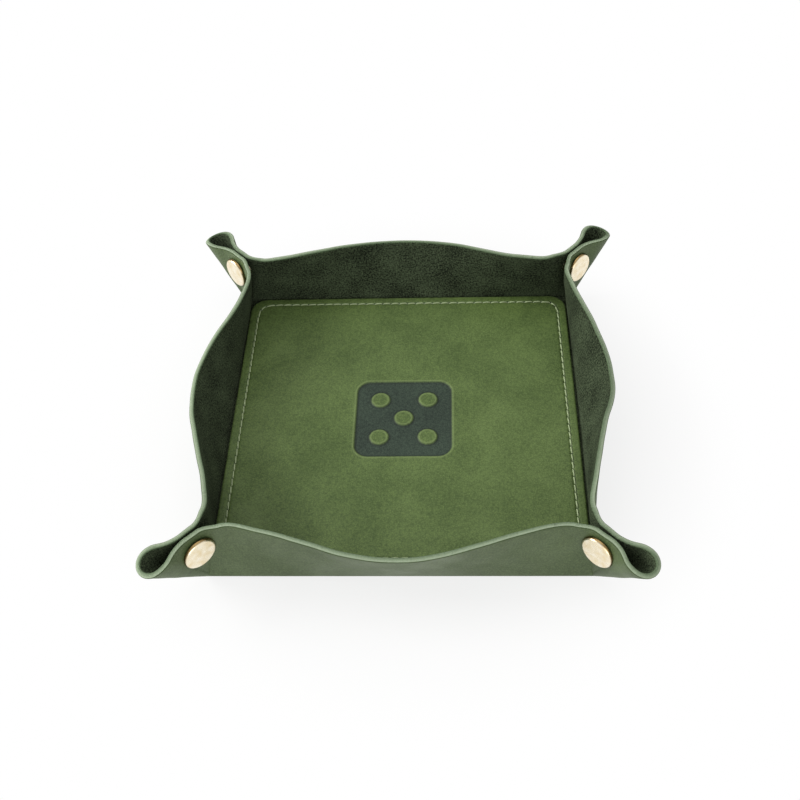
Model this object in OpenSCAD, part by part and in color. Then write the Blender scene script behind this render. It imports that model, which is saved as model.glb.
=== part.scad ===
// Folding dice tray: one square leather sheet whose corners are pinched and snapped shut,
// with a stitched leather panel on its floor. Drawn snapped up, standing on the table.
// +X is right, +Y is the back, and the origin is under the middle of the floor.

/* [Sheet] */
// Distance between opposite bend lines of the floor
tray_side = 152.4; // [120:0.1:200]
// Width of the sheet outside the bend lines, which makes the walls
wall_height = 29.5; // [24:0.5:36]
// Thickness of the sheet
leather = 2; // [1.6:0.1:2.4]
// Radius of the sheet's rounded corners
corner_radius = 12; // [6:0.5:15]

/* [Floor panel] */
// Gap between the panel's edge and the bend line
panel_margin = 0.7; // [0.5:0.1:4]
// Thickness of the panel
panel_thick = 2; // [1.4:0.1:3]
// Radius of the panel's corners
panel_corner = 8; // [6:0.5:14]
// Side of the pressed die face
motif_side = 42; // [20:1:70]
// Depth of the pressed die face
motif_depth = 0.5; // [0.2:0.1:0.8]

/* [Stitching] */
// Distance of the seam from the panel's edge
stitch_inset = 4; // [3:0.1:8]
// Length of one stitch
stitch_pitch = 4; // [3:0.1:6]
// Thickness of the thread
thread = 0.8; // [0.6:0.1:1]

/* [Snaps] */
// Diameter of the domed cap
cap_d = 14; // [12:0.5:16]
// Diameter of the head on the other flap
post_d = 12; // [10:0.5:13]
// Height of the snap, as a share of the wall
snap_level = 0.7; // [0.62:0.01:0.74]

/* [Hidden] */
$fn = 64;
half = tray_side / 2;
panel_half = half - panel_margin;
panel_top = leather + panel_thick;
seam_half = panel_half - stitch_inset;
seam_corner = panel_corner - stitch_inset / 2;
fit_gap = 0.2;
grain_green = [0.36, 0.43, 0.26];
suede_green = [0.19, 0.24, 0.17];
thread_green = [0.66, 0.72, 0.55];
brass = [0.88, 0.75, 0.5];

// Walls flare out by lean_out at their middle and lean in by lean_in at the pinched corners.
lean_out = 22;
lean_in = 9.5;

// Lines of the sheet are named by their bearing at the corner point, counted from the bend line:
// 90 is square to the wall, and last_bearing is the sheet's own diagonal.
last_bearing = 135;
pinch = [60, 84];
flare = [106, 119];
nose = [116, 152];
flare_turn = 22;
flap_from = 72;
loop_from = 126;
loop_gap = 1.8;
snap_bearing = 96;

// Where each wall is cut between its middle panel and its ends, as a share of half.
wall_cut = 0.59;
wall_steps = 18;
end_steps = 12;
bearing_step = 2;

diagonal_normal = [1, 1, 0] / sqrt(2);

SIDES = ["front", "right", "back", "left"];
// At each corner the first wall ends there on its right, seen from outside, and the second on its left.
CORNERS = ["front_right", "back_right", "back_left", "front_left"];
function second_side(c) = SIDES[(c + 1) % 4];
function half_name(c, second) =
    second ? str(second_side(c), "_wall_", SIDES[c]) : str(SIDES[c], "_wall_", second_side(c));
// The caps sit on the first wall's flap at the first two corners and on the second wall's at the others.
function cap_on_second(c) = c > 1;

SNAP_PARTS = ["cap", "socket", "stud", "post"];

// A smooth step from 0 to 1.
function ease(t) = let (u = min(1, max(0, t))) u * u * (3 - 2 * u);
function eased(a, zone) = ease((a - zone[0]) / (zone[1] - zone[0]));
function spin(v, axis, turn) =
    v * cos(turn) + cross(axis, v) * sin(turn) + axis * (axis * v) * (1 - cos(turn));
function unit(v) = v / norm(v);

// The corner is a cone round the corner point, bent without stretching. fan() walks its lines one
// degree of the flat sheet at a time and gives each line's direction and the way across it.
// turns holds how far the sheet turns out at the pinch and back round the nose.
function sheet_turn(a, turns) =
    turns[1] * eased(a, nose) - turns[0] * eased(a, pinch) - flare_turn * eased(a, flare);
function step_on(e, a, turns) =
    let (swing = cross(e[0], e[1]) + e[0] * (sheet_turn(a + 1, turns) - sheet_turn(a, turns)))
    [for (v = e) spin(v, unit(swing), norm(swing))];
function fan(turns) =
    [for (a = 0, e = [[-1, 0, 0], [0, sin(lean_in), cos(lean_in)]]; a <= last_bearing;
        e = step_on(e, a, turns), a = a + 1) e];

// How far the nose line misses the diagonal plane, and how far it crosses that plane out of square.
function miss(turns) =
    let (e = fan(turns)[last_bearing])
    [e[0] * diagonal_normal, e[1] * cross(diagonal_normal, e[0])];
// Newton's method finds the two turns that close the corner.
function closed(turns, rounds) =
    rounds == 0 ? turns :
    let (
        f = miss(turns),
        p = miss(turns + [1, 0]) - f,
        q = miss(turns + [0, 1]) - f,
        det = p[0] * q[1] - q[0] * p[1]
    )
    closed(turns - [f[0] * q[1] - q[0] * f[1], p[0] * f[1] - f[0] * p[1]] / det, rounds - 1);
FAN = fan(closed([46, 197], 5));

function line_at(a) =
    let (i = min(floor(a), last_bearing - 1), f = a - i)
    [for (k = [0, 1]) unit(FAN[i][k] * (1 - f) + FAN[i + 1][k] * f)];
function outward_at(a) = let (e = line_at(a)) cross(e[1], e[0]);

// A point of the sheet from its flat place, seen from the first corner point: x along the wall from
// its middle, s out from the bend line, and depth from the inner face.
function sheet_at(x, s, depth) =
    let (
        a = atan2(s, half - abs(x)),
        r = norm([half - abs(x), s]),
        sway = (lean_out + lean_in) * (1 - ease(abs(x) / half)),
        q = spin(r * line_at(a)[0] + depth * outward_at(a), [1, 0, 0], sway)
    )
    x < 0 ? [-q.x - tray_side, q.y, q.z] : q;
function flat_place(a, r) = [half - r * cos(a), r * sin(a)];

// Length of the line at bearing a, up to the sheet's edge or its rounded corner.
function rim(a) =
    let (
        c = wall_height - corner_radius,
        straight = wall_height / sin(a),
        b = c * (sin(a) - cos(a))
    )
    -straight * cos(a) <= c ? straight : b + sqrt(b * b - 2 * c * c + corner_radius * corner_radius);

function span(from, to, steps) = [for (i = [0:steps]) from + (to - from) * i / steps];
function bearings(from, to) = span(from, to, ceil((to - from) / bearing_step));
// A net of flat places between two bearings, from r0 to the rim.
function corner_net(from, to, r0) =
    [for (a = bearings(from, to)) [for (r = span(r0, rim(a), 2)) flat_place(a, r)]];

// A piece of the sheet as a solid, from a net of flat places.
module sheet_piece(net) {
    rows = len(net);
    cols = len(net[0]);
    outer = rows * cols;
    points = [for (depth = [0, leather]) for (row = net) for (q = row) sheet_at(q[0], q[1], depth)];
    function at(i, j, k) = k * outer + i * cols + j;
    function quad(a, b, c, d) = [[a, b, c], [a, c, d]];
    faces = [
        for (i = [0:rows - 2]) for (j = [0:cols - 2]) for (k = [0, 1])
            each k == 0
                ? quad(at(i, j, k), at(i + 1, j, k), at(i + 1, j + 1, k), at(i, j + 1, k))
                : quad(at(i, j, k), at(i, j + 1, k), at(i + 1, j + 1, k), at(i + 1, j, k)),
        for (i = [0:rows - 2])
            each concat(
                quad(at(i, 0, 0), at(i, 0, 1), at(i + 1, 0, 1), at(i + 1, 0, 0)),
                quad(at(i, cols - 1, 0), at(i + 1, cols - 1, 0), at(i + 1, cols - 1, 1), at(i, cols - 1, 1))),
        for (j = [0:cols - 2])
            each concat(
                quad(at(0, j, 0), at(0, j + 1, 0), at(0, j + 1, 1), at(0, j, 1)),
                quad(at(rows - 1, j, 0), at(rows - 1, j, 1), at(rows - 1, j + 1, 1), at(rows - 1, j + 1, 0)))
    ];
    polyhedron(points, faces);
}

// Puts children, drawn round the first corner point, at corner c, on its first or second wall.
module at_corner(c, second = false) {
    rotate([0, 0, 90 * c])
        translate([half, -half, leather])
            mirror(second ? [1, 1, 0] : [0, 0, 0])
                children();
}

// A rounded square plate.
module plate(side, radius, thick) {
    translate([-side / 2, radius - side / 2, 0]) cube([side, side - 2 * radius, thick]);
    translate([radius - side / 2, -side / 2, 0]) cube([side - 2 * radius, side, thick]);
    for (x = [-1, 1], y = [-1, 1])
        translate([x * (side / 2 - radius), y * (side / 2 - radius), 0]) cylinder(r = radius, h = thick);
}

// A ring of the given width along the seam.
module seam_ring(width, thick) {
    difference() {
        plate(2 * seam_half + width, seam_corner + width / 2, thick);
        translate([0, 0, -1]) plate(2 * seam_half - width, seam_corner - width / 2, thick + 2);
    }
}

// Square legs or holes where the thread goes through, two of them round each corner.
module seam_points(width) {
    run = seam_half - seam_corner;
    count = floor(2 * run / stitch_pitch);
    for (turn = [0:3]) rotate(90 * turn) {
        for (i = [0:count]) translate([(i - count / 2) * stitch_pitch, -seam_half]) square(width, center = true);
        translate([run, -run]) for (a = [30, 60]) rotate(-a) translate([seam_corner, 0]) square(width, center = true);
    }
}

groove = thread + 2 * fit_gap;
thread_sink = 0.15;

module base_sheet() {
    color(grain_green) difference() {
        linear_extrude(leather) difference() {
            square(tray_side - fit_gap, center = true);
            seam_points(groove);
        }
        translate([0, 0, -1]) seam_ring(groove, 1 + thread + thread_sink);
    }
}

module floor_panel() {
    color(grain_green) translate([0, 0, leather]) difference() {
        plate(2 * panel_half, panel_corner, panel_thick);
        translate([0, 0, -1]) linear_extrude(panel_thick + 2) seam_points(groove);
        translate([0, 0, panel_thick - thread]) seam_ring(groove, panel_thick);
        translate([0, 0, panel_thick - motif_depth]) die_face();
    }
}

// The pressed motif: a die face showing five, its pips left standing.
module die_face() {
    pip_d = motif_side / 5;
    spread = motif_side / 4;
    difference() {
        plate(motif_side, motif_side / 7, panel_thick);
        for (p = [[0, 0], [1, 1], [1, -1], [-1, 1], [-1, -1]])
            translate([p.x * spread, p.y * spread, -1]) cylinder(d = pip_d, h = panel_thick + 2);
    }
}

module stitching() {
    color(thread_green) union() {
        translate([0, 0, thread_sink]) seam_ring(thread, thread - fit_gap);
        translate([0, 0, panel_top - thread + fit_gap]) seam_ring(thread, thread - fit_gap);
        translate([0, 0, thread_sink + thread / 4])
            linear_extrude(panel_top - thread_sink - thread / 2) seam_points(thread);
    }
}

// Middle panel of a wall, between its two ends.
module wall(side) {
    reach = wall_cut * half - fit_gap / 4;
    color(suede_green) at_corner(side)
        sheet_piece([for (x = span(-reach, reach, wall_steps)) [[x, fit_gap], [x, wall_height]]]);
}

// End of a wall, up to the line where the pinched corner starts to turn out.
module wall_end(c, second) {
    from = wall_cut * half + fit_gap / 4;
    foot = half - 3 * fit_gap;
    top = half - wall_height / tan(flap_from) - fit_gap / 2;
    color(suede_green) at_corner(c, second)
        sheet_piece([for (i = [0:end_steps]) let (u = i / end_steps)
            [for (s = span(fit_gap, wall_height, 4)) let (v = s / wall_height)
                [from + u * (foot + v * (top - foot) - from), s]]]);
}

flap_foot = 9;
loop_foot = 15;
hole_d = 4.4;
shank_d = 3.6;

// Flat side of a pinched corner, with the snap's hole.
module flap(c, second) {
    color(suede_green) at_corner(c, second) difference() {
        sheet_piece(corner_net(flap_from + fit_gap, loop_from - loop_gap, flap_foot));
        on_flap() translate([0, 0, -leather]) cylinder(d = hole_d, h = 3 * leather);
    }
}

// Half of the rounded nose that joins two flaps, up to the sheet's diagonal.
module loop(c, second) {
    color(suede_green) at_corner(c, second)
        sheet_piece(corner_net(loop_from + loop_gap, last_bearing - fit_gap, loop_foot));
}

snap_at = snap_level * wall_height;
snap_line = line_at(snap_bearing)[0];
snap_out = outward_at(snap_bearing);
// Distance between the two flaps' inner faces at the snap.
snap_room = 2 * snap_at * abs(snap_line * diagonal_normal);

// Puts children on the flap's inner face at the snap, +Z going out through the leather.
module on_flap() {
    v = cross(snap_out, snap_line);
    multmatrix([for (k = [0:2]) [snap_line[k], v[k], snap_out[k], snap_at * snap_line[k]]]) children();
}

// How far the leather, which bends up into the wall, stands up under a head of diameter d.
function rise(d) = max([for (a = [pinch[0] - 15:snap_bearing], k = [-8:8])
    let (
        p = flat_place(a, snap_at + k * d / 16),
        q = sheet_at(p[0], p[1], leather) - snap_at * snap_line,
        up = q * snap_out
    )
    if (norm(q - up * snap_out) <= d / 2) up - leather]);

seat_gap = 0.05;
flange = 0.6;
socket_d = 11;
socket_h = 1.5;
socket_bore = 6.6;
stud_d = 9.5;
nipple_d = 4;
tip_gap = 0.8;
nipple_h = snap_room - flange - tip_gap;
cap_dome = 1.4;
post_dome = 1;

// A turned head with a shank through the leather: its dome is an arc, its rim stands clear of the bend.
module head(d, dome) {
    hub = shank_d / 2 + 1.6;
    lift = rise(d) + fit_gap;
    arc = [for (t = span(0, 90, 8)) [d / 2 * cos(t), leather + lift + dome * (0.45 + 0.55 * sin(t))]];
    rotate_extrude() polygon(concat(
        [[0, flange / 2 - flange], [shank_d / 2, flange / 2 - flange],
            [shank_d / 2, leather + seat_gap], [hub, leather + seat_gap],
            [d / 2 - 0.4, leather + lift], [d / 2, leather + lift + 0.3]],
        [for (p = arc) [p.x, max(p.y, leather + lift + 0.35)]]));
}

module snap_cap(c) {
    color(brass) at_corner(c, cap_on_second(c)) on_flap() head(cap_d, cap_dome);
}

module snap_socket(c) {
    color(brass) at_corner(c, cap_on_second(c)) on_flap() difference() {
        translate([0, 0, -socket_h]) cylinder(d = socket_d, h = socket_h - seat_gap);
        translate([0, 0, -socket_h - 1]) cylinder(d = socket_bore, h = socket_h - flange + 1);
        translate([0, 0, -socket_h]) cylinder(d = shank_d + fit_gap, h = 2 * socket_h);
    }
}

module snap_stud(c) {
    color(brass) at_corner(c, !cap_on_second(c)) on_flap() difference() {
        union() {
            translate([0, 0, -flange]) cylinder(d = stud_d, h = flange - seat_gap);
            translate([0, 0, -nipple_h - flange + nipple_d / 8]) cylinder(d = nipple_d, h = nipple_h);
            translate([0, 0, -nipple_h - flange]) cylinder(d1 = 0.75 * nipple_d, d2 = nipple_d, h = nipple_d / 8);
        }
        translate([0, 0, -flange]) cylinder(d = shank_d + fit_gap, h = 2 * flange);
    }
}

module snap_post(c) {
    color(brass) at_corner(c, !cap_on_second(c)) on_flap() head(post_d, post_dome);
}

base_sheet();
floor_panel();
stitching();
for (i = [0:3]) {
    wall(i);
    snap_cap(i);
    snap_socket(i);
    snap_stud(i);
    snap_post(i);
    for (b = [false, true]) {
        wall_end(i, b);
        flap(i, b);
        loop(i, b);
    }
}
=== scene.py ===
import math
import bmesh
import bpy
import numpy as np
from mathutils import Matrix, Vector


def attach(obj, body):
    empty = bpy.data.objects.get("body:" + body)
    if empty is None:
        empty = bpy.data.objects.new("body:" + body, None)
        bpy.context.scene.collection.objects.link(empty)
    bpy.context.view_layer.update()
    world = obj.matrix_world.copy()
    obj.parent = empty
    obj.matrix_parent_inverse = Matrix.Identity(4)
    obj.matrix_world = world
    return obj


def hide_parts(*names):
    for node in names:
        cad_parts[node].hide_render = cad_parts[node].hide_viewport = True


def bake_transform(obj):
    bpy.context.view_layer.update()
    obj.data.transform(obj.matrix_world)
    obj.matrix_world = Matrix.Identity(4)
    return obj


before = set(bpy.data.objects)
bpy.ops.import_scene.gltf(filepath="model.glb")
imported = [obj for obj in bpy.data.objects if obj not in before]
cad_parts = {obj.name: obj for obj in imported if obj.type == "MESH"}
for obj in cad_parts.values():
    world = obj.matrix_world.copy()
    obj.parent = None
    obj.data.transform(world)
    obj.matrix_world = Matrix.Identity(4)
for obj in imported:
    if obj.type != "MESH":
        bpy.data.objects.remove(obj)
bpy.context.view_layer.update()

scene = bpy.context.scene
mm = 0.001
sides = ("front", "right", "back", "left")


def linear(hexColour):  # sRGB hex to linear rgba
    v = np.array([int(hexColour[i:i + 2], 16) for i in (1, 3, 5)]) / 255
    v = np.where(v <= 0.04045, v / 12.92, ((v + 0.055) / 1.055) ** 2.4)
    return (*v.tolist(), 1.0)


def addNode(tree, kind, inputs=None, **settings):
    # inputs goes from a socket's name to its value, or to the output that feeds it
    made = tree.nodes.new(kind)
    for key, value in settings.items():
        setattr(made, key, value)
    for key, value in (inputs or {}).items():
        if isinstance(value, bpy.types.NodeSocket):
            tree.links.new(value, made.inputs[key])
        else:
            made.inputs[key].default_value = value
    return made


def newMaterial(name):  # an empty node tree with its output
    made = bpy.data.materials.new(name)
    made.use_nodes = True
    made.node_tree.nodes.clear()
    return made, made.node_tree, made.node_tree.nodes.new("ShaderNodeOutputMaterial")


def unit(v):
    return v / np.linalg.norm(v, axis=-1, keepdims=True)


def ease(t):  # smooth step from 0 to 1
    t = np.clip(t, 0, 1)
    return t * t * (3 - 2 * t)


def spun(p, quarters):  # turned about the middle of the tray by quarter turns
    for _ in range(quarters % 4):
        p = np.stack([-p[..., 1], p[..., 0], p[..., 2]], -1)
    return p


def buildMesh(name, points, faces, materials, kinds=None, attributes=None, sharp=45):
    # points in mm, kinds picks each face's material, attributes holds one value or vector for each point
    mesh = bpy.data.meshes.new(name)
    mesh.from_pydata((points * mm).tolist(), [], faces)
    for made in materials:
        mesh.materials.append(made)
    if kinds is not None:
        mesh.polygons.foreach_set("material_index", np.asarray(kinds, np.int32))
    for key, values in (attributes or {}).items():
        vector = values.ndim == 2
        layer = mesh.attributes.new(key, "FLOAT_VECTOR" if vector else "FLOAT", "POINT")
        layer.data.foreach_set("vector" if vector else "value", values.astype(np.float32).ravel())
    solid = bmesh.new()
    solid.from_mesh(mesh)
    bmesh.ops.recalc_face_normals(solid, faces=solid.faces)
    solid.to_mesh(mesh)
    solid.free()
    mesh.shade_smooth()
    mesh.set_sharp_from_angle(angle=math.radians(sharp))
    made = bpy.data.objects.new(name, mesh)
    scene.collection.objects.link(made)
    return made


# The sheet: one square of leather. Sizes in mm, bearings and leans in degrees.
sheet = {
    "half": 76.2,              # middle of the floor to a bend line
    "wall": 29.5,              # bend line to the sheet's edge
    "thick": 2.0,
    "cornerRound": 12.0,       # rounding of the sheet's corners
    "leanOut": 22.0,           # lean of a wall at its middle
    "leanIn": 9.5,             # lean at the pinched corners, the other way
    "pinch": (60.0, 84.0),     # where the corner turns out, by bearing round the corner point
    "flare": (106.0, 119.0),
    "flareTurn": 22.0,
    "nose": (116.0, 152.0),    # where it turns back round the nose
    "diagonal": 135.0,         # the sheet's own diagonal, at the tip of the nose
    "wallSeam": 60.0,          # bearings where one piece hands over to the next
    "loopSeam": 103.0,
    "edgeRound": 0.3,          # rounding of the cut edge
    "soften": 1.2,             # how far either way the normal is taken round the pinch
    "softenEnd": (108.0, 124.0),   # bearings over which that ends
    "ripple": 0.22,            # slow unevenness of the hide
    "rippleFrom": (1.0, 10.0),     # distance up the wall over which it sets in
    "pinchIn": 2.3,            # how far a flap's rim leans in over its snap
    "pinchInFrom": 12.0,       # distance up the flap where that sets in
    "pinchInRise": (74.0, 89.0),   # bearings where it grows and goes
    "pinchInFall": (99.0, 120.0),
    # Where a wall leans in more: its quarter turn, place along it, spread and degrees.
    "leans": ((3, -43.0, 25.0, 7.0), (2, -42.0, 25.0, 5.5), (1, -26.0, 15.0, 4.0)),
}
half, thick = sheet["half"], sheet["thick"]
edgePoints = 9       # points across the cut edge
perDegree = 4        # lines of the corner in a degree
lastBearing = 140
bearings = np.arange(lastBearing * perDegree + 1) / perDegree


def zoneShare(a, zone):
    return ease((a - zone[0]) / (zone[1] - zone[0]))


def sheetTurn(a, turns):  # how far the sheet has turned about its lines by bearing a
    return (turns[1] * zoneShare(a, sheet["nose"]) - turns[0] * zoneShare(a, sheet["pinch"])
            - sheet["flareTurn"] * zoneShare(a, sheet["flare"]))


def turned(v, axis, angle):  # v turned about a unit axis
    return (v * math.cos(angle) + np.cross(axis, v) * math.sin(angle)
            + axis * np.dot(axis, v) * (1 - math.cos(angle)))


def fan(turns):
    # The corner is a cone round its corner point, bent without stretching. Each step swings the line
    # across the sheet by the step's angle and turns the sheet about the line by the change in sheetTurn.
    lean = math.radians(sheet["leanIn"])
    line, across = np.array([-1.0, 0, 0]), np.array([0, math.sin(lean), math.cos(lean)])
    walked = [(line, across)]
    for more in np.radians(np.diff(sheetTurn(bearings, turns))):
        swing = np.cross(line, across) * math.radians(1 / perDegree) + line * more
        size = np.linalg.norm(swing)
        line, across = turned(line, swing / size, size), turned(across, swing / size, size)
        walked.append((line, across))
    return np.array(walked)


def noseMiss(turns):
    # How far the nose line misses the diagonal plane, and how far out of square it crosses it.
    line, across = fan(turns)[int(sheet["diagonal"] * perDegree)]
    square = np.array([1, 1, 0]) / math.sqrt(2)
    return np.array([line @ square, across @ np.cross(square, line)])


turns = np.array([46.0, 197.0])
for _ in range(5):  # Newton's method closes the corner
    miss = noseMiss(turns)
    slope = np.stack([noseMiss(turns + step) - miss for step in np.eye(2)], 1)
    turns = turns - np.linalg.solve(slope, miss)
fanLines = fan(turns)
print("corner closed with turns", turns.round(2))


def lineAt(a, which=0):  # direction of the line at bearing a, or across it
    return unit(np.stack([np.interp(a, bearings, fanLines[:, which, k]) for k in range(3)], -1))


def innerFace(a, r):
    # Point of the inner face at bearing a and distance r from the corner point, in the corner's own frame.
    # The cone's point is turned about the bend line by a sway that grows towards the wall's middle.
    away = half - r * np.cos(np.radians(a))
    sway = np.radians((sheet["leanOut"] + sheet["leanIn"]) * (1 - ease(np.abs(away) / half)))
    p = r[..., None] * lineAt(a)
    c, s = np.cos(sway), np.sin(sway)
    return np.stack([p[..., 0], c * p[..., 1] - s * p[..., 2], s * p[..., 1] + c * p[..., 2]], -1)


def outward(a, r):
    # Unit normal of the sheet, towards its grain side. Round the pinch it is taken over a wider stretch,
    # so that the outer face comes round the hollow bend in a soft curve and doesn't fold over.
    least, most, step = 0.3, 45, 0.05
    r = np.maximum(r, sheet["soften"] / 2)
    wide = np.minimum(np.degrees(sheet["soften"] / r), most)
    reach = least + (wide - least) * (1 - zoneShare(a, sheet["softenEnd"]))
    across = innerFace(np.minimum(a + reach, bearings[-1]), r) - innerFace(np.maximum(a - reach, 0), r)
    along = innerFace(a, r + step) - innerFace(a, r - step)
    return unit(np.cross(across, along))


def ripple(flat):  # slow unevenness, as a sum of waves over the flat sheet
    x, y = flat[..., 0], flat[..., 1]
    waves = (np.sin(0.21 * x + 0.13 * y + 0.7) + np.sin(-0.16 * x + 0.27 * y + 2.1)
             + 0.6 * np.sin(0.43 * x - 0.31 * y + 4.0) + 0.5 * np.sin(0.38 * x + 0.52 * y + 1.3))
    return sheet["ripple"] * waves / 3.1      # 3.1 is the most that the waves add up to


def uneven(flat):  # each lean is a bell curve along its wall that grows with the distance up it
    total = np.zeros(flat.shape[:-1])
    for quarter, at, spread, lean in sheet["leans"]:
        local = spun(flat, -quarter)
        up = np.maximum(-half - local[..., 1], 0)
        total += up * math.tan(math.radians(lean)) * np.exp(-((local[..., 0] - at) / spread) ** 2)
    return total


def leanIn(a, r):
    # The flap bends in towards its rim as the square of the distance up it, most between pinch and flare.
    up = np.maximum(r - sheet["pinchInFrom"], 0) / (sheet["wall"] - sheet["pinchInFrom"])
    over = zoneShare(a, sheet["pinchInRise"]) * (1 - zoneShare(a, sheet["pinchInFall"]))
    return sheet["pinchIn"] * over * up ** 2


def flatPlace(a, r, corner, second):  # place on the uncut square sheet
    x, s = half - r * np.cos(np.radians(a)), r * np.sin(np.radians(a))
    return flatOnto(x, s, corner, second)


def flatOnto(x, s, corner, second):
    flat = np.stack([x, -half - s, np.zeros_like(x)], -1)
    if second:
        flat = flat[..., [1, 0, 2]] * [-1, -1, 1]
    return spun(flat, corner)


def intoPlace(p, corner, second):  # from a corner's own frame to the tray's
    if second:
        p = p[..., [1, 0, 2]] * [-1, -1, 1]
    return spun(p + [half, -half, thick], corner)


def leatherPoint(a, r, depth, flat):
    # The inner face, lifted by the ripple and drawn in over the snap, then carried out along the normal.
    lift = ripple(flat) * zoneShare(r * np.sin(np.radians(a)), sheet["rippleFrom"])
    return innerFace(a, r) + outward(a, r) * (depth + lift - leanIn(a, r) - uneven(flat))[..., None]


def edgeLength(a):  # length of the line at bearing a, up to the sheet's straight edge or its rounded corner
    rad = np.radians(a)
    c = sheet["wall"] - sheet["cornerRound"]
    straight = sheet["wall"] / np.sin(rad)
    b = c * (np.sin(rad) - np.cos(rad))
    rounded = b + np.sqrt(np.maximum(b * b - 2 * c * c + sheet["cornerRound"] ** 2, 0))
    return np.where(-straight * np.cos(rad) <= c, straight, rounded)


def cutSection(count):
    # Section of the sheet as a ring: up the inner face, over the rounded cut edge, down the outer face.
    # share runs along the face, past goes beyond its end, kind is 0 suede, 1 cut edge, 2 grain.
    e = sheet["edgeRound"]
    crown = 1.03 * e      # the middle of the cut edge swells a little
    bend = np.radians(np.linspace(0, 90, (edgePoints + 1) // 2))[1:]
    out, sunk, none = e * np.sin(bend), e * (1 - np.cos(bend)), np.zeros(count)
    share = np.concatenate([np.linspace(0, 1, count), np.ones(edgePoints), np.linspace(1, 0, count)])
    past = np.concatenate([none, out, [crown], out[::-1], none])
    depth = np.concatenate([none, sunk, [thick / 2], thick - sunk[::-1], none + thick])
    kind = np.concatenate([np.zeros(count - 1), np.ones(edgePoints + 1), np.full(count, 2)])
    return share, past, depth, kind.astype(int)


def ringFaces(n, m, closed=False):
    # n rings of m points joined in order, with the ends filled or joined to each other
    i, j = np.meshgrid(np.arange(n - 1), np.arange(m), indexing="ij")
    k = (j + 1) % m
    last = (i + 1) % (n - 1) if closed else i + 1
    quads = np.stack([i * m + j, i * m + k, last * m + k, last * m + j], -1).reshape(-1, 4).tolist()
    return quads if closed else quads + [list(range(m)), list(range((n - 1) * m, n * m))]


def ringSolid(name, rings, kind, flat, gap, materials):  # rings[i, j] is point j of closed ring i
    n, m = rings.shape[:2]
    kinds = np.concatenate([np.tile(kind, n - 1), [1, 1]])
    return buildMesh(name, rings.reshape(-1, 3), ringFaces(n, m), materials, kinds,
                     {"flatPlace": flat.reshape(-1, 3) * mm, "rimGap": gap.ravel()}, sharp=65)


def wallHalf(corner, second, columns, count, knuckle=6):
    # Half a wall, from its middle to the seam with the pinched corner. The ring's points stand at x along
    # the wall and s up it, and below the bend line the outer face goes round the bend to the underside.
    share, past, depth, kind = cutSection(count)
    s = share * (sheet["wall"] - sheet["edgeRound"]) + past
    u = np.linspace(0, 1, columns)[:, None]
    x = u * (half - s / math.tan(math.radians(sheet["wallSeam"])))
    a, r = np.degrees(np.arctan2(s, half - x)), np.hypot(half - x, s)
    flat = flatOnto(x, s + 0 * x, corner, second)
    body = leatherPoint(a, r, depth + 0 * x, flat)
    away = half - u[:, 0] * half
    start, down = outward(0 * away, away), np.array([0, 0, -1.0])
    angle = np.arccos(np.clip(start @ down, -1, 1))[:, None, None]
    t = np.linspace(0, 1, knuckle + 1)[None, 1:, None]
    arc = (np.sin((1 - t) * angle) * start[:, None] + np.sin(t * angle) * down) / np.sin(angle)
    bend = innerFace(0 * away, away)[:, None] + thick * arc
    under = flatOnto(half - away[:, None] + 0 * t[..., 0], -(t * angle)[..., 0] * thick, corner, second)
    flat[..., 2], under[..., 2] = depth, thick
    rings = intoPlace(np.concatenate([body, bend], 1), corner, second)
    kinds = np.concatenate([kind, np.full(knuckle - 1, 2), [0]])
    gap = np.concatenate([sheet["wall"] - s + 0 * x, np.full(under.shape[:2], sheet["wall"])], 1)
    return rings, kinds, np.concatenate([flat, under], 1), gap


def cornerPart(corner, second, start, end, columns, count, foot=0.8):
    # Part of a pinched corner between two bearings, from beside the corner point to the sheet's edge.
    share, past, depth, kind = cutSection(count)
    a = np.linspace(start, end, columns)[:, None] + 0 * share
    r = foot + share * (edgeLength(a) - sheet["edgeRound"] - foot) + past
    flat = flatPlace(a, r, corner, second)
    rings = intoPlace(leatherPoint(a, r, depth + 0 * a, flat), corner, second)
    flat[..., 2] = depth
    return rings, np.concatenate([kind[:-1], [0]]), flat, edgeLength(a) - r


print("sheet ready")

# Finishes. flatPlace is a point's place on the uncut sheet in metres, with its depth from the suede face,
# so that patterns follow the hide round every bend. rimGap is the distance from the cut edge in mm.
hide = {
    "grain": ("#3a4a26", "#57693f"),     # dark and pale clouds of the waxed grain side
    "panel": ("#3f5127", "#667b42"),     # the same hide on the floor, paler from handling
    "suede": ("#040603", "#647256"),     # nap laid flat and nap standing
    "haze": "#8a9a76",                   # the suede at a low angle
    "edge": ("#5f7154", "#9dac90"),      # cut edge fibre by the suede, and paler by the grain as a painted highlight
    "burnishAndHoleShade": ("#17231b", "#3b4a3c"),   # where the die face is pressed in, burnished; the same tone is painted shade in the seam's holes
    "lipAndHighlight": "#93a56c",                 # painted highlight along the lip round it, pale
    "paintedEdgeShade": "#0e1610",                  # painted shade at the foot of its edge
    "clouds": 24.0,                      # mm, pull-up clouds
    "pores": 0.9,                        # mm, real pores are about 0.3, drawn as coarse as shows
    "poreDepth": 0.12,
    "nap": 0.75,                         # mm, real tufts are about 0.3, drawn as coarse as shows
    "napDepth": 0.3,
    "brushed": 14.0,                     # mm, strokes of the brush over the nap
    "pulled": 2.8,                       # mm, pale fibre reaches in by a tuft's height times this, less 0.6
    "fibres": 0.6,                       # mm, fibres of the cut edge
    "fibreDepth": 0.3,
    "strays": 1.6,                       # mm that a fibre strays from its depth
    "highlightDepths": (0.85, 2.35),               # mm, where the strayed depth goes from dark to the painted highlight
    "skin": (1.65, 1.9),                 # mm deep, where the grain's dyed skin begins
}
fittings = {
    "face": ("#fff8e4", "#eedbb2"),      # brass, polished and worn
    # the rim's colour is a painted dark reflection
    "rim": "#86704a",
    "wear": 2.5,                         # mm, worn patches
    "hairs": 0.25,                       # mm, hairline scratches
    "hairDepth": 0.05,
}
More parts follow.
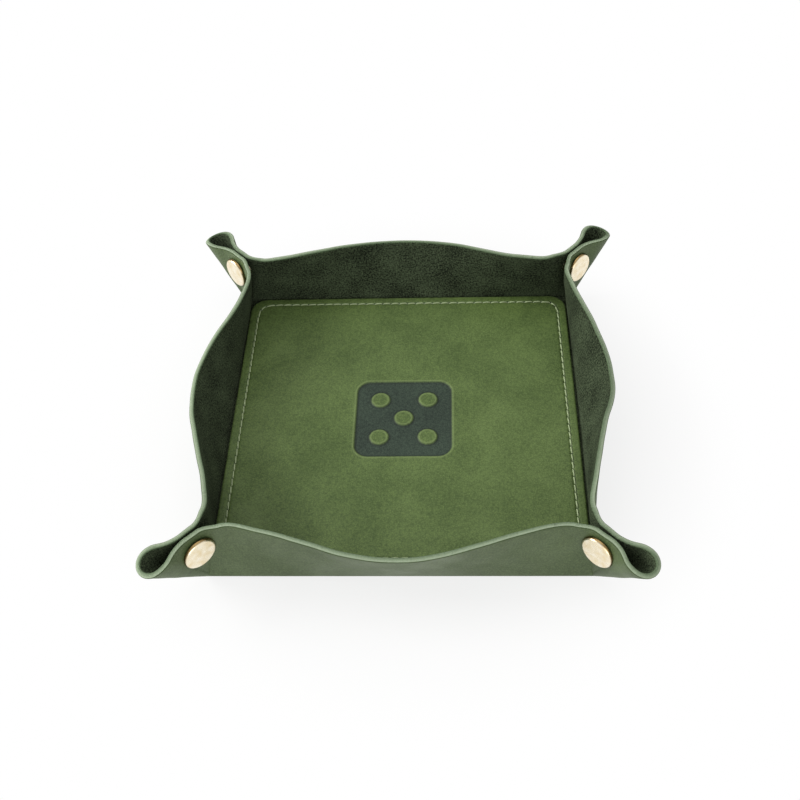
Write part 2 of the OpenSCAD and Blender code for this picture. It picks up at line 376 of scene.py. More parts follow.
yarn = {
    "strands": ("#8b9c6e", "#b9c69c"),   # between the strands and on them
    "strandDepth": 0.08,
}


def perMetre(size):  # texture scale that gives features of this size in mm
    return 1 / (size * mm)


def grainLeather(name, tones, shine, pressed=None):
    # Waxed pull-up cowhide, grain side up: cloudy where the wax has moved, fine pores, a soft gloss.
    made, tree, out = newMaterial(name)
    place = addNode(tree, "ShaderNodeAttribute", attribute_name="flatPlace").outputs["Vector"]
    clouds = addNode(tree, "ShaderNodeTexNoise", {
        "Vector": place, "Scale": perMetre(hide["clouds"]), "Detail": 6.0, "Roughness": 0.58,
        "Distortion": 0.5})
    specks = addNode(tree, "ShaderNodeTexNoise", {
        "Vector": place, "Scale": perMetre(hide["pores"]), "Detail": 3.0, "Roughness": 0.7})
    pores = addNode(tree, "ShaderNodeTexVoronoi", {
        "Vector": place, "Scale": perMetre(hide["pores"])}, feature="DISTANCE_TO_EDGE")
    crease = addNode(tree, "ShaderNodeMapRange", {"Value": pores.outputs["Distance"], "From Max": 0.22})
    blotch = addNode(tree, "ShaderNodeMath", {
        0: clouds.outputs["Fac"], 1: 0.6, 2: specks.outputs["Fac"]}, operation="MULTIPLY_ADD")
    grained = addNode(tree, "ShaderNodeMath", {
        0: crease.outputs["Result"], 1: 0.2, 2: blotch.outputs[0]}, operation="MULTIPLY_ADD")
    spread = addNode(tree, "ShaderNodeMapRange", {
        "Value": grained.outputs[0], "From Min": 0.68, "From Max": 1.18}).outputs["Result"]
    tone = addNode(tree, "ShaderNodeMix", {
        0: spread, 6: linear(tones[0]), 7: linear(tones[1])}, data_type="RGBA").outputs[2]
    height = addNode(tree, "ShaderNodeMath", {
        0: crease.outputs["Result"], 1: 0.5, 2: specks.outputs["Fac"]}, operation="MULTIPLY_ADD")
    bump = addNode(tree, "ShaderNodeBump", {
        "Height": height.outputs[0], "Strength": 0.35, "Distance": hide["poreDepth"] * mm})
    gloss = addNode(tree, "ShaderNodeMapRange", {
        "Value": clouds.outputs["Fac"], "From Min": 0.3, "From Max": 0.7,
        "To Min": 0.62, "To Max": 0.46}).outputs["Result"]
    # On the panel, pressed darkens the burnished die face, and the seam's holes as painted shade.
    if pressed:
        mark = addNode(tree, "ShaderNodeAttribute", attribute_name=pressed).outputs["Fac"]
        burnishAndHoleShadeTone = addNode(tree, "ShaderNodeMix", {
            0: spread, 6: linear(hide["burnishAndHoleShade"][0]), 7: linear(hide["burnishAndHoleShade"][1])},
            data_type="RGBA").outputs[2]
        tone = addNode(tree, "ShaderNodeMix", {0: mark, 6: tone, 7: burnishAndHoleShadeTone}, data_type="RGBA").outputs[2]
        # A pale line along the lip is a painted highlight, and a dark line at the foot of the edge is painted
        # shade.
        for key in ("lipAndHighlight", "paintedEdgeShade"):
            line = addNode(tree, "ShaderNodeAttribute", attribute_name=key).outputs["Fac"]
            tone = addNode(tree, "ShaderNodeMix", {
                0: line, 6: tone, 7: linear(hide[key])}, data_type="RGBA").outputs[2]
        gloss = addNode(tree, "ShaderNodeMix", {0: mark, 2: gloss, 3: 0.64}).outputs[0]
    skin = addNode(tree, "ShaderNodeBsdfPrincipled", {
        "Base Color": tone, "Roughness": gloss, "IOR": 1.48, "Specular IOR Level": shine,
        "Normal": bump.outputs["Normal"]})
    tree.links.new(skin.outputs[0], out.inputs["Surface"])
    return made


def splitSuede(name):
    # Split suede, the flesh side of the same hide, brushed: very dark, tufted, hazy at a low angle,
    # with pale fibre pulled over from the cut edge.
    made, tree, out = newMaterial(name)
    place = addNode(tree, "ShaderNodeAttribute", attribute_name="flatPlace").outputs["Vector"]
    tufts = addNode(tree, "ShaderNodeTexNoise", {
        "Vector": place, "Scale": perMetre(hide["nap"]), "Detail": 4.0, "Roughness": 0.75,
        "Distortion": 0.3}).outputs["Fac"]
    brushed = addNode(tree, "ShaderNodeTexNoise", {
        "Vector": place, "Scale": perMetre(hide["brushed"]), "Detail": 3.0})
    mixed = addNode(tree, "ShaderNodeMath", {
        0: brushed.outputs["Fac"], 1: 0.25, 2: tufts}, operation="MULTIPLY_ADD")
    spread = addNode(tree, "ShaderNodeMapRange", {
        "Value": mixed.outputs[0], "From Min": 0.51, "From Max": 0.86})
    nap = addNode(tree, "ShaderNodeMix", {
        0: spread.outputs["Result"], 6: linear(hide["suede"][0]), 7: linear(hide["suede"][1])},
        data_type="RGBA").outputs[2]
    gap = addNode(tree, "ShaderNodeAttribute", attribute_name="rimGap").outputs["Fac"]
    pulled = addNode(tree, "ShaderNodeMath", {0: tufts, 1: -hide["pulled"], 2: gap}, operation="MULTIPLY_ADD")
    fuzz = addNode(tree, "ShaderNodeMapRange", {
        "Value": pulled.outputs[0], "From Min": -0.6, "From Max": -0.9, "To Max": 0.85})
    tone = addNode(tree, "ShaderNodeMix", {
        0: fuzz.outputs["Result"], 6: nap, 7: linear(hide["edge"][0])}, data_type="RGBA").outputs[2]
    bump = addNode(tree, "ShaderNodeBump", {
        "Height": tufts, "Strength": 0.7, "Distance": hide["napDepth"] * mm})
    cloth = addNode(tree, "ShaderNodeBsdfPrincipled", {
        "Base Color": tone, "Roughness": 0.95, "IOR": 1.4, "Specular IOR Level": 0.15, "Sheen Weight": 0.06,
        "Sheen Roughness": 0.5, "Sheen Tint": linear(hide["haze"]), "Normal": bump.outputs["Normal"]})
    tree.links.new(cloth.outputs[0], out.inputs["Surface"])
    return made


def cutEdge(name):
    # Raw cut edge of the hide: pale fibre, paler still towards the grain as a painted highlight, then the
    # grain's thin dyed skin.
    made, tree, out = newMaterial(name)
    place = addNode(tree, "ShaderNodeAttribute", attribute_name="flatPlace").outputs["Vector"]
    fibres = addNode(tree, "ShaderNodeTexNoise", {
        "Vector": place, "Scale": perMetre(hide["fibres"]), "Detail": 5.0, "Roughness": 0.7}).outputs["Fac"]
    depth = addNode(tree, "ShaderNodeSeparateXYZ", {0: place}).outputs["Z"]
    strayed = addNode(tree, "ShaderNodeMath", {
        0: fibres, 1: hide["strays"] * mm, 2: depth}, operation="MULTIPLY_ADD")
    bevelHighlight = addNode(tree, "ShaderNodeMapRange", {
        "Value": strayed.outputs[0], "From Min": hide["highlightDepths"][0] * mm, "From Max": hide["highlightDepths"][1] * mm})
    skinSide = addNode(tree, "ShaderNodeMapRange", {
        "Value": depth, "From Min": hide["skin"][0] * mm, "From Max": hide["skin"][1] * mm})
    fibreAndHighlight = addNode(tree, "ShaderNodeMix", {
        0: bevelHighlight.outputs["Result"], 6: linear(hide["edge"][0]), 7: linear(hide["edge"][1])},
        data_type="RGBA").outputs[2]
    tone = addNode(tree, "ShaderNodeMix", {
        0: skinSide.outputs["Result"], 6: fibreAndHighlight, 7: linear(hide["grain"][0])}, data_type="RGBA").outputs[2]
    bump = addNode(tree, "ShaderNodeBump", {
        "Height": fibres, "Strength": 0.8, "Distance": hide["fibreDepth"] * mm})
    rough = addNode(tree, "ShaderNodeBsdfPrincipled", {
        "Base Color": tone, "Roughness": 0.9, "IOR": 1.4, "Normal": bump.outputs["Normal"]})
    tree.links.new(rough.outputs[0], out.inputs["Surface"])
    return made


def polishedBrass(name):
    # Brass, pale and polished on its face with hairline scratches from handling, and browner round the rim as
    # a painted dark reflection. The attribute that mixes them is 1 on the face and 0 at the rim.
    made, tree, out = newMaterial(name)
    place = addNode(tree, "ShaderNodeTexCoord").outputs["Object"]
    wear = addNode(tree, "ShaderNodeTexNoise", {
        "Vector": place, "Scale": perMetre(fittings["wear"]), "Detail": 4.0}).outputs["Fac"]
    across = addNode(tree, "ShaderNodeMapping", {
        "Vector": place, "Rotation": (0.5, 0.3, 0.8), "Scale": (1.0, 0.08, 1.0)})
    hairs = addNode(tree, "ShaderNodeTexNoise", {
        "Vector": across.outputs[0], "Scale": perMetre(fittings["hairs"]), "Detail": 3.0})
    gloss = addNode(tree, "ShaderNodeMapRange", {
        "Value": wear, "From Min": 0.3, "From Max": 0.7, "To Min": 0.2, "To Max": 0.36})
    worn = addNode(tree, "ShaderNodeMapRange", {"Value": wear, "From Min": 0.25, "From Max": 0.75})
    face = addNode(tree, "ShaderNodeMix", {
        0: worn.outputs["Result"], 6: linear(fittings["face"][0]), 7: linear(fittings["face"][1])},
        data_type="RGBA").outputs[2]
    faceNotRim = addNode(tree, "ShaderNodeAttribute", attribute_name="faceNotRim").outputs["Fac"]
    tone = addNode(tree, "ShaderNodeMix", {
        0: faceNotRim, 6: linear(fittings["rim"]), 7: face}, data_type="RGBA").outputs[2]
    bump = addNode(tree, "ShaderNodeBump", {
        "Height": hairs.outputs["Fac"], "Strength": 0.3, "Distance": fittings["hairDepth"] * mm})
    metal = addNode(tree, "ShaderNodeBsdfPrincipled", {
        "Base Color": tone, "Metallic": 1.0, "Roughness": gloss.outputs["Result"],
        "Normal": bump.outputs["Normal"]})
    tree.links.new(metal.outputs[0], out.inputs["Surface"])
    return made


def waxedThread(name):
    # Bonded polyester thread with a wax finish: pale green, with strands and a dull shine.
    # twist counts the strands along it.
    made, tree, out = newMaterial(name)
    twist = addNode(tree, "ShaderNodeAttribute", attribute_name="twist").outputs["Fac"]
    turn = addNode(tree, "ShaderNodeMath", {0: twist, 1: 2 * math.pi}, operation="MULTIPLY")
    strand = addNode(tree, "ShaderNodeMath", {0: turn.outputs[0]}, operation="SINE")
    lit = addNode(tree, "ShaderNodeMapRange", {
        "Value": strand.outputs[0], "From Min": -1.0}).outputs["Result"]
    tone = addNode(tree, "ShaderNodeMix", {
        0: lit, 6: linear(yarn["strands"][0]), 7: linear(yarn["strands"][1])}, data_type="RGBA").outputs[2]
    bump = addNode(tree, "ShaderNodeBump", {
        "Height": lit, "Strength": 0.6, "Distance": yarn["strandDepth"] * mm})
    waxed = addNode(tree, "ShaderNodeBsdfPrincipled", {
        "Base Color": tone, "Roughness": 0.55, "Normal": bump.outputs["Normal"]})
    tree.links.new(waxed.outputs[0], out.inputs["Surface"])
    return made


outsideLeather = grainLeather("waxed_pull_up_leather", hide["grain"], 0.6)
panelLeather = grainLeather("waxed_pull_up_leather_panel", hide["panel"], 0.3, "pressed")
suede = splitSuede("split_suede")
edge = cutEdge("cut_leather_edge")
brass = polishedBrass("polished_brass")
threadFinish = waxedThread("waxed_polyester_thread")
print("finishes ready")


# Walls and pinched corners: each wall is two halves, each corner two flaps and the two halves of its nose.
corners = {
    "wallColumns": 64,
    "wallRows": 22,
    "flapColumns": 56,
    "loopColumns": 48,
    "cornerRows": 26,
    "flapFold": 72.0,     # bearing of the line that a flap folds on
    "flapReach": 6.0,     # mm over which it bends, either side of that line
    "loopFold": 116.5,    # bearing, lean in degrees and reach in mm of the line along which a nose opens
    "loopLean": -31.0,
    "loopReach": (-3.3, 10.0),
}
sheetFinishes = [suede, edge, outsideLeather]
for corner in range(4):
    for second in (False, True):
        here, beside = sides[corner], sides[(corner + 1) % 4]
        wall = f"{beside if second else here}_wall"
        end = f"{wall}_{here if second else beside}"
        rings, kinds, flat, gap = wallHalf(corner, second, corners["wallColumns"], corners["wallRows"])
        piece = ringSolid(f"{end}_half", rings, kinds, flat, gap, sheetFinishes)
        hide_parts(f"{end}_end", *([] if second else [wall]))
        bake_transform(piece)

        rings, kinds, flat, gap = cornerPart(corner, second, sheet["wallSeam"], sheet["loopSeam"],
                                             corners["flapColumns"], corners["cornerRows"])
        piece = ringSolid(f"{end}_flap_leather", rings, kinds, flat, gap, sheetFinishes)
        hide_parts(f"{end}_flap")
        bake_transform(piece)

        rings, kinds, flat, gap = cornerPart(corner, second, sheet["loopSeam"], sheet["diagonal"],
                                             corners["loopColumns"], corners["cornerRows"])
        piece = ringSolid(f"{end}_loop_leather", rings, kinds, flat, gap, sheetFinishes)
        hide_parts(f"{end}_loop")
        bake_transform(piece)
print("walls and corners ready")

# Seam: one row of saddle stitching round the panel, through the base. Sizes in mm.
seam = {
    "half": 71.5,         # middle of the floor to the row of holes
    "round": 6.0,         # rounding of the row at the corners
    "pitch": 4.0,
    "perSide": 33,
    "thread": 0.34,       # half the thread's width
    "flatten": 0.85,      # height of its section for its width
    "taper": 0.3,         # share of its width that it loses at the holes
    "sides": 8,           # points round its section
    "strand": 0.55,       # length of thread that shows one strand
    "slant": 0.16,        # sideways lean of a stitch
    "sink": 0.85,         # how far a stitch dives at its holes
    "laid": 0.02,         # how far the upper run is pressed into the panel
    "underLevel": 0.62,   # height of the lower run
    "groove": 0.3,
    "grooveWidth": 0.62,
    "holeDepth": 0.4,
    "holeSize": 0.55,
}


def roundBox(x, y, reach, radius):  # distance from a rounded square, less than 0 inside it
    qx, qy = np.abs(x) - (reach - radius), np.abs(y) - (reach - radius)
    return np.hypot(np.maximum(qx, 0), np.maximum(qy, 0)) + np.minimum(np.maximum(qx, qy), 0) - radius


def seamHoles():  # holes in order round the square, two on each rounded corner
    run = (np.arange(seam["perSide"]) - (seam["perSide"] - 1) / 2) * seam["pitch"]
    bend = np.radians([-60, -30])
    c = seam["half"] - seam["round"]
    straight = np.stack([run, 0 * run - seam["half"], 0 * run], -1)
    rounded = np.stack([c + seam["round"] * np.cos(bend), -c + seam["round"] * np.sin(bend), 0 * bend], -1)
    side = np.concatenate([straight, rounded])
    return np.concatenate([spun(side, k) for k in range(4)])


holes = seamHoles()


def holeMark(x, y):  # 1 at a hole of the seam, falling to 0 round it
    near = np.full(x.shape, np.inf)
    for hx, hy, _ in holes:
        near = np.minimum(near, np.hypot(x - hx, y - hy))
    return np.exp(-(near / seam["holeSize"]) ** 2)


def seamDepth(x, y, groove):  # a groove along the seam, with a dimple at each hole
    line = np.abs(roundBox(x, y, seam["half"], seam["round"]))
    return groove * np.exp(-(line / seam["grooveWidth"]) ** 2) + seam["holeDepth"] * holeMark(x, y)


def gridLines(zones):
    # Lines across a square, mirrored about its middle. zones give where each stretch ends, and its spacing.
    lines, at = [np.zeros(1)], 0.0
    for end, step in zones:
        count = math.ceil((end - at) / step)
        lines.append(at + (end - at) * np.arange(1, count + 1) / count)
        at = end
    lines = np.concatenate(lines)
    return np.concatenate([-lines[:0:-1], lines])


def gridFaces(n):  # quads of an n by n grid
    i = np.arange(n * n).reshape(n, n)
    return np.stack([i[:-1, :-1], i[1:, :-1], i[1:, 1:], i[:-1, 1:]], -1).reshape(-1, 4).tolist()


def gridBorder(n):  # the grid's outline as one ring
    i = np.arange(n * n).reshape(n, n)
    return np.concatenate([i[:-1, 0], i[-1, :-1], i[:0:-1, -1], i[0, :0:-1]])


def intoRound(x, y, reach, radius):
    # A square grid drawn into a rounded square: in each corner's patch the square goes onto a quarter disc,
    # u by the root of 1 - v^2/2, and v by the root of 1 - u^2/2.
    c = reach - radius
    u, v = np.clip((np.abs(x) - c) / radius, 0, 1), np.clip((np.abs(y) - c) / radius, 0, 1)
    patch = (u > 0) & (v > 0)
    nx = np.where(patch, np.sign(x) * (c + radius * u * np.sqrt(1 - v * v / 2)), x)
    ny = np.where(patch, np.sign(y) * (c + radius * v * np.sqrt(1 - u * u / 2)), y)
    return nx, ny


def slab(name, x, y, z, core, rims, materials, kinds, attributes):
    # A closed plate: a grid surface, then rings that stand out from its border and lie at the heights in
    # rims, and a last face across. Out is away from a square of half width core. kinds has the material of
    # the grid, of the rings and of the last face.
    n = x.shape[0]
    surface = np.stack([x, y, z], -1).reshape(-1, 3)
    border = gridBorder(n)
    flat = surface[border, :2]
    out = unit(flat - np.clip(flat, -core, core))
    rings = [np.column_stack([flat + out * go, np.full(len(border), height)]) for go, height in rims]
    m = len(border)
    index = np.concatenate([border, n * n + np.arange(m * len(rims))]).reshape(-1, m)
    after = np.roll(index, -1, 1)
    walls = np.stack([index[:-1], after[:-1], after[1:], index[1:]], -1).reshape(-1, 4).tolist()
    faces = gridFaces(n) + walls + [index[-1].tolist()]
    perFace = np.repeat(kinds, [(n - 1) ** 2, m * len(rims), 1])
    perPoint = np.concatenate([np.arange(n * n)] + [border] * len(rims))
    spread = {key: v.reshape(n * n, *v.shape[2:])[perPoint] for key, v in attributes.items()}
    return buildMesh(name, np.concatenate([surface] + rings), faces, materials, perFace, spread)


# Base: the middle of the sheet, suede up and grain down, with the back of the seam sunk into its underside.
# A ball at each corner point closes the bottom of the pinched corner.
base = {
    "zones": ((60.0, 5.0), (66.0, 0.6), (74.5, 0.42), (half, 0.9)),
    "groove": 0.75,
    "ballTop": 0.05,      # mm above the corner point where the ball is cut
    "ballRings": 14,
    "ballPoints": 32,
}
farFromRim = 99           # mm, for what has no cut edge near it
x, y = np.meshgrid(gridLines(base["zones"]), gridLines(base["zones"]), indexing="ij")
z = seamDepth(x, y, base["groove"])
baseLeather = slab("base_leather", x, y, z, half - 1, [(0.0, thick)], sheetFinishes, [2, 1, 0],
                   {"flatPlace": np.stack([x, y, 0 * x + thick], -1) * mm, "rimGap": 0 * x + farFromRim})
lift = np.linspace(-0.999, base["ballTop"] / thick, base["ballRings"])[:, None]
turn = np.linspace(0, 2 * math.pi, base["ballPoints"] + 1)[:-1]
wide = np.sqrt(1 - lift ** 2)
ball = thick * np.stack([wide * np.cos(turn), wide * np.sin(turn), lift + 0 * turn], -1)
balls = []
for corner in range(4):
    rings = spun(ball + [half, -half, thick], corner)
    balls.append(ringSolid(f"corner_{corner}", rings, np.full(base["ballPoints"], 2), rings,
                           0 * rings[..., 0] + farFromRim, [suede, suede, outsideLeather]))
with bpy.context.temp_override(active_object=baseLeather, selected_editable_objects=[baseLeather] + balls):
    bpy.ops.object.join()
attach(baseLeather, "floor")
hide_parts("base_sheet")
print("base ready")

# Floor panel, with a die face pressed into its middle: a rounded square with five pips left standing.
panel = {
    "half": 75.5,
    "round": 8.0,
    "bottom": 2.0,
    "top": 4.0,
    "edgeRound": 0.7,
    "zones": ((23.0, 0.36), (64.0, 1.15), (74.8, 0.42)),
    "swell": 0.1,         # slow unevenness
    "swellFade": 9.0,     # distance from the edge where it is whole
    "face": 21.0,         # half the die face
    "faceRound": 6.0,
    "pip": 4.2,           # pip radius
    "pipSpread": 10.5,
    "press": 0.5,         # depth of the pressed face
    "pressSlope": 0.8,
    "lip": 0.12,          # height of the lip round it
    "lipAt": 0.65,        # distance of the lip, and of the painted shade at its foot, from the edge
    "paintedEdgeShadeAt": -0.45,
    "lineWidth": 0.4,
    # Strengths of the painted highlight on the lip and of the painted shade at the foot of the edge.
    "lipHighlightShare": 0.3,
    "paintedEdgeShadeShare": 0.5,
}


def dieEdge(x, y):
    # Distance from the die face's edge, less than 0 where it is pressed and more on the pips.
    s = panel["pipSpread"]
    places = ((0, 0), (s, s), (s, -s), (-s, s), (-s, -s))
    pips = [np.hypot(x - px, y - py) - panel["pip"] for px, py in places]
    return np.maximum(roundBox(x, y, panel["face"], panel["faceRound"]), -np.minimum.reduce(pips))


inner, innerRound = panel["half"] - panel["edgeRound"], panel["round"] - panel["edgeRound"]
x, y = np.meshgrid(gridLines(panel["zones"]), gridLines(panel["zones"]), indexing="ij")
x, y = intoRound(x, y, inner, innerRound)
gap = dieEdge(x, y)
pressed = ease(0.5 - gap / panel["pressSlope"])
# A line along the die face's lip, which raises it and carries a painted highlight, and a line at the foot of
# its edge, which carries painted shade.
lipAndHighlight = np.exp(-((gap - panel["lipAt"]) / panel["lineWidth"]) ** 2)
paintedEdgeShade = np.exp(-((gap - panel["paintedEdgeShadeAt"]) / panel["lineWidth"]) ** 2)
inside = ease(-roundBox(x, y, inner, innerRound) / panel["swellFade"])
waves = np.sin(0.071 * x + 0.043 * y + 1) + np.sin(-0.052 * x + 0.09 * y + 2.4)
z = (panel["top"] + panel["swell"] * waves * inside - seamDepth(x, y, seam["groove"])
     - panel["press"] * pressed + panel["lip"] * lipAndHighlight)
bend = np.radians([22.5, 45, 67.5, 90])
rims = list(zip(panel["edgeRound"] * np.sin(bend), panel["top"] - panel["edgeRound"] * (1 - np.cos(bend))))
rims.append((panel["edgeRound"], panel["bottom"]))
# pressed holds the die face's burnish, and painted shade at the seam's holes.
marks = {"pressed": np.maximum(pressed, holeMark(x, y)),
         "lipAndHighlight": panel["lipHighlightShare"] * lipAndHighlight,
         "paintedEdgeShade": panel["paintedEdgeShadeShare"] * paintedEdgeShade,
         "flatPlace": np.stack([x, y, 0 * x + panel["top"]], -1) * mm}
floorPanel = slab("floor_panel_leather", x, y, z, inner - innerRound, rims, [panelLeather], [0, 0, 0], marks)
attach(floorPanel, "floor")
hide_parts("floor_panel")
print("floor panel ready")


def stitches(level, up):
    # Stitches from each hole to the next: a round section carried along a path that dives at both ends by
    # the fourth power of the distance from its middle, and leans a little across the seam.
    go = np.roll(holes, -1, 0) - holes
    side = unit(np.stack([-go[:, 1], go[:, 0], 0 * go[:, 0]], -1))
    t = np.array([0, 0.09, 0.22, 0.5, 0.78, 0.91, 1])
    lean, far = 2 * t - 1, (2 * t - 1) ** 4
    path = (holes[:, None] + t[:, None] * go[:, None] + side[:, None] * (seam["slant"] * lean)[:, None]
            + np.array([0, 0, 1.0]) * (level - up * seam["sink"] * far)[:, None])
    around = np.linspace(0, 2 * math.pi, seam["sides"] + 1)[:-1] - math.pi / 2
    width = seam["thread"] * (1 - seam["taper"] * far)
    rise = up * np.array([0, 0, seam["flatten"]])
    ring = side[:, None, None] * np.cos(around)[:, None] + rise * np.sin(around)[:, None]
    points = path[:, :, None] + ring * width[:, None, None]
    length = np.linalg.norm(go, axis=1)[:, None, None] * t[:, None]
    twist = length / seam["strand"] + np.arange(seam["sides"]) / seam["sides"]
    return points, twist


# Thread of both faces. Points run by stitch, ring and side, and each stitch is closed at its ends.
strands = [stitches(panel["top"] - seam["laid"], 1.0), stitches(seam["underLevel"], -1.0)]
points = np.concatenate([p for p, _ in strands])
twist = np.concatenate([np.broadcast_to(t, p.shape[:3]) for p, t in strands])
count, ringCount, m = points.shape[:3]
i, j, k = np.meshgrid(np.arange(count), np.arange(ringCount - 1), np.arange(m), indexing="ij")
first, after = i * ringCount * m + j * m, (k + 1) % m
quads = np.stack([first + k, first + after, first + m + after, first + m + k], -1).reshape(-1, 4).tolist()
starts = np.arange(count)[:, None] * ringCount * m + np.arange(m)
faces = quads + starts.tolist() + (starts + (ringCount - 1) * m).tolist()
thread = buildMesh("seam_thread", points.reshape(-1, 3), faces, [threadFinish],
                   attributes={"twist": twist.ravel()}, sharp=60)
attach(thread, "floor")
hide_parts("stitching")
print("thread ready")

# Snaps, turned brass. Heights go out through the leather from the flap's inner face. Sizes in mm.
snap = {
    "bearing": 96.0,
    "reach": 20.65,               # distance from the corner point
    "shank": 1.8,
    "cap": (7.0, 2.25, 4.1),      # radius, skirt, crown
    "post": (6.0, 2.1, 3.31),
    "shoulder": 1.0,
    "roll": 0.35,                 # rounding of the skirt
    "swell": 0.18,
    "faceNotRim": (0.23, 0.83),       # below the crown, where the face colour goes over to the rim's painted dark reflection
    "socket": (5.5, 3.3, 1.5),    # radius, bore, height
    "stud": (4.75, 2.0, 3.22),    # flange radius, nipple radius, height
    "flange": 0.6,
    "eyelet": 1.9,                # hole in the socket's flange
    "clear": 0.05,                # gap between a flange and the leather
    "steps": 64,
}


def headProfile(radius, skirt, crown):
    # Shank, underside, rolled skirt, a shoulder that is a quarter of an ellipse, a face that swells a little.
    roll, rise, face = snap["roll"], skirt + snap["roll"], radius - snap["shoulder"]
    a = np.radians(np.linspace(0, 82, 10))
    shoulder = np.stack([face + snap["shoulder"] * np.cos(a),
                         rise + (crown - snap["swell"] - rise) * np.sin(a)], -1)
    r = np.linspace(0.97, 0.003, 10) * face
    swell = np.stack([r, crown - snap["swell"] * (r / face) ** 2], -1)
    b = np.radians(np.linspace(-90, 0, 5))[:-1]
    skirtRoll = np.stack([radius - roll + roll * np.cos(b), rise + roll * np.sin(b)], -1)
    shank = snap["shank"]
    foot = [[0.02, -0.3], [shank, -0.3], [shank, thick + 0.02], [radius - 0.9, thick + 0.06]]
    return np.concatenate([foot, skirtRoll, shoulder, swell])


def socketProfile(radius, bore, height):  # flange ring, rolled lip and bore, closed on itself
    f, c, hole = -snap["flange"], -snap["clear"], snap["eyelet"]
    return np.array([[hole, c], [radius - 0.3, c], [radius, -0.3], [radius, -height + 0.4],
                     [radius - 0.15, -height + 0.1], [radius - 0.5, -height], [bore + 0.45, -height],
                     [bore + 0.12, -height + 0.1], [bore, -height + 0.35], [bore + 0.2, f], [hole, f]])


def studProfile(radius, nipple, height):  # flange, waisted nipple and rounded tip
    f, c = -snap["flange"], -snap["clear"]
    return np.array([[0.02, c], [radius - 0.2, c], [radius, -0.22], [radius, f + 0.15], [radius - 0.2, f],
                     [nipple + 0.5, f], [nipple - 0.1, f - 0.2], [nipple - 0.25, f - 0.8],
                     [nipple - 0.2, f - 1.2], [nipple, f - 1.7], [nipple - 0.05, -height + 0.55],
                     [nipple - 0.4, -height + 0.15], [nipple - 0.9, -height], [0.02, -height]])


def turnedPiece(name, profile, corner, second, closed=False):
    # The profile spun about the snap's axis, which stands square on the leaning flap. Its share of face
    # colour, against the rim's painted dark reflection, falls with the depth below its crown.
    a, r = np.full(3, snap["bearing"]), snap["reach"] + np.array([-0.5, 0, 0.5])
    low, foot, high = leatherPoint(a, r, 0 * r, flatPlace(a, r, corner, second))
    line, across = unit(high - low), lineAt(snap["bearing"], 1)
    out = np.cross(across, line)
    turn = np.linspace(0, 2 * math.pi, snap["steps"] + 1)[:-1, None]
    r, z = profile[:, 0, None, None], profile[:, 1, None, None]
    rings = intoPlace(foot + r * (np.cos(turn) * line + np.sin(turn) * across) + z * out, corner, second)
    if closed:
        rings = np.concatenate([rings, rings[:1]])
    n, m = rings.shape[:2]
    faces = ringFaces(n, m, closed)
    below = profile[:, 1].max() - profile[:, 1]
    faceNotRim = np.repeat(1 - zoneShare(below, snap["faceNotRim"]), m)
    return buildMesh(name, rings[:n - closed].reshape(-1, 3), faces, [brass],
                     attributes={"faceNotRim": faceNotRim}, sharp=40)


for corner in range(4):
    here, beside = sides[corner], sides[(corner + 1) % 4]
    flaps = [f"{here}_wall_{beside}_flap", f"{beside}_wall_{here}_flap"]
    name = f"{here}_{beside}" if here in ("front", "back") else f"{beside}_{here}"
    capSide = corner > 1                      # which flap carries the cap
    for part, profile, second, closed in (("cap", headProfile(*snap["cap"]), capSide, False),
                                          ("socket", socketProfile(*snap["socket"]), capSide, True),
                                          ("stud", studProfile(*snap["stud"]), not capSide, False),
                                          ("post", headProfile(*snap["post"]), not capSide, False)):
        piece = turnedPiece(f"{name}_{part}_brass", profile, corner, second, closed)
        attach(piece, flaps[second])
        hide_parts(f"{name}_{part}")
print("snaps ready")

# Studio: a pale floor that keeps the shadow and goes to white, three soft lights, white all round.
studio = {
    "floor": "#ededeb",
    "floorHalf": 3.0,         # m
    "floorDrop": 0.1,         # mm under the tray
    "ambient": 0.32,
    "shadow": 0.2,            # how much of the floor's look comes from the light on it, by the tray
    "fade": (0.088, 0.15),    # m from the middle over which that goes to none
    # Place and side in m, and watts: a low one on the left, one above, one by the camera.
    "softboxes": (((-0.9, 0.15, 0.5), 0.5, 9.0), ((-0.1, 0.2, 1.0), 0.9, 3.0),
                  ((0.15, -1.0, 0.5), 0.8, 4.5)),
}
white = (1, 1, 1, 1)


def seenRays(tree):  # 1 for rays from the camera, off gloss and through glass, to which the studio is white
    path = addNode(tree, "ShaderNodeLightPath")
    seen = path.outputs["Is Camera Ray"]
    for ray in ("Is Glossy Ray", "Is Transmission Ray"):
        seen = addNode(tree, "ShaderNodeMath", {
            0: seen, 1: path.outputs[ray]}, operation="MAXIMUM").outputs[0]
    return seen


pale, tree, out = newMaterial("pale_studio_floor")
lit = addNode(tree, "ShaderNodeBsdfDiffuse", {"Color": linear(studio["floor"])})
glow = addNode(tree, "ShaderNodeEmission", {"Color": white})
place = addNode(tree, "ShaderNodeTexCoord").outputs["Object"]
away = addNode(tree, "ShaderNodeVectorMath", {0: place}, operation="LENGTH")
fade = addNode(tree, "ShaderNodeMapRange", {
    "Value": away.outputs["Value"], "From Min": studio["fade"][0], "From Max": studio["fade"][1],
    "To Min": studio["shadow"], "To Max": 0.0}, interpolation_type="SMOOTHSTEP")
blend = addNode(tree, "ShaderNodeMixShader", {
    0: fade.outputs["Result"], 1: glow.outputs[0], 2: lit.outputs[0]})
shown = addNode(tree, "ShaderNodeMixShader", {0: seenRays(tree), 1: lit.outputs[0], 2: blend.outputs[0]})
tree.links.new(shown.outputs[0], out.inputs["Surface"])
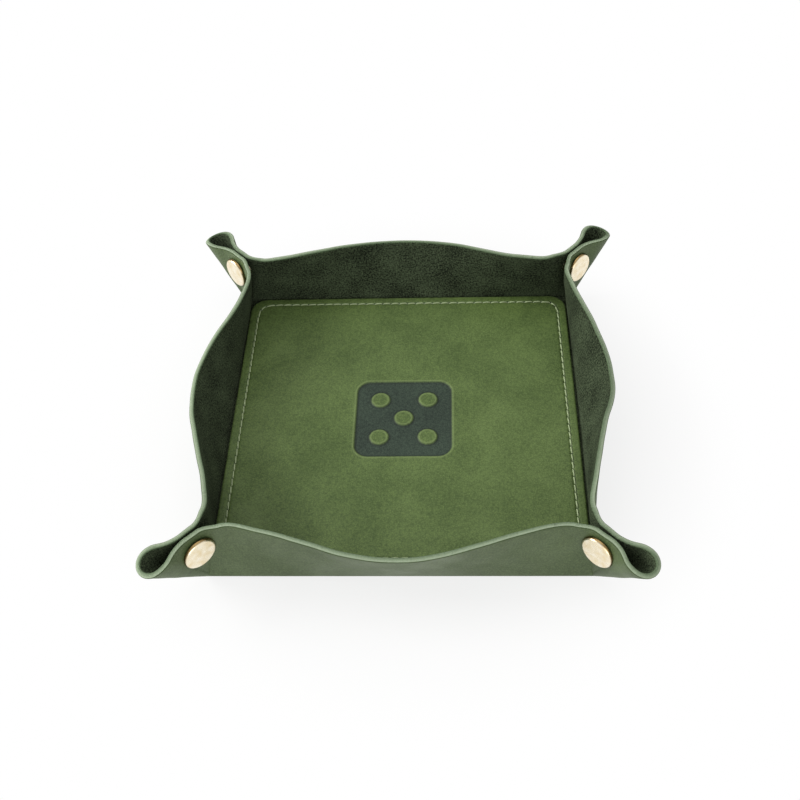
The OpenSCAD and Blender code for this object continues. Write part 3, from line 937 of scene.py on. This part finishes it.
wide, drop = studio["floorHalf"] / mm, -studio["floorDrop"]
ground = np.array([[-wide, -wide, drop], [wide, -wide, drop], [wide, wide, drop], [-wide, wide, drop]])
buildMesh("studio_floor", ground, [[0, 1, 2, 3]], [pale])

world = bpy.data.worlds.new("white_studio")
world.use_nodes = True
tree = world.node_tree
tree.nodes.clear()
level = addNode(tree, "ShaderNodeMapRange", {"Value": seenRays(tree), "To Min": studio["ambient"]})
sky = addNode(tree, "ShaderNodeBackground", {"Color": white, "Strength": level.outputs["Result"]})
addNode(tree, "ShaderNodeOutputWorld", {"Surface": sky.outputs[0]})
scene.world = world

for place, side, watts in studio["softboxes"]:
    light = bpy.data.lights.new("softbox", "AREA")
    light.size, light.energy = side, watts
    softbox = bpy.data.objects.new("softbox", light)
    softbox.location = place
    softbox.rotation_euler = Vector(place).to_track_quat("Z", "Y").to_euler()
    scene.collection.objects.link(softbox)

# Camera, fitted to the photograph. Angles in degrees, lengths in mm, focal length in pixels of the frame.
view = {
    "azimuth": 4.535,
    "elevation": 49.495,
    "roll": -3.968,
    "distance": 474.05,
    "target": (-2.205, 13.695, 0.0),
    "focal": 1054.91,
    "frame": 800,
    "sensor": 36.0,
}
az, el, roll = (math.radians(view[k]) for k in ("azimuth", "elevation", "roll"))
back = np.array([math.sin(az) * math.cos(el), -math.cos(az) * math.cos(el), math.sin(el)])
right = unit(np.cross(-back, [0, 0, 1.0]))
upward = np.cross(right, -back)
across = math.cos(roll) * right + math.sin(roll) * upward
rise = math.cos(roll) * upward - math.sin(roll) * right
place = (np.array(view["target"]) + back * view["distance"]) * mm
lens = bpy.data.cameras.new("camera")
lens.sensor_width = view["sensor"]
lens.lens = view["sensor"] * view["focal"] / view["frame"]
lens.clip_start = 0.01
camera = bpy.data.objects.new("camera", lens)
stand = np.eye(4)
stand[:3] = np.stack([across, rise, back, place], 1)
camera.matrix_world = Matrix(stand.tolist())
scene.collection.objects.link(camera)
scene.camera = camera
scene.view_settings.view_transform = "Standard"
print("studio ready")
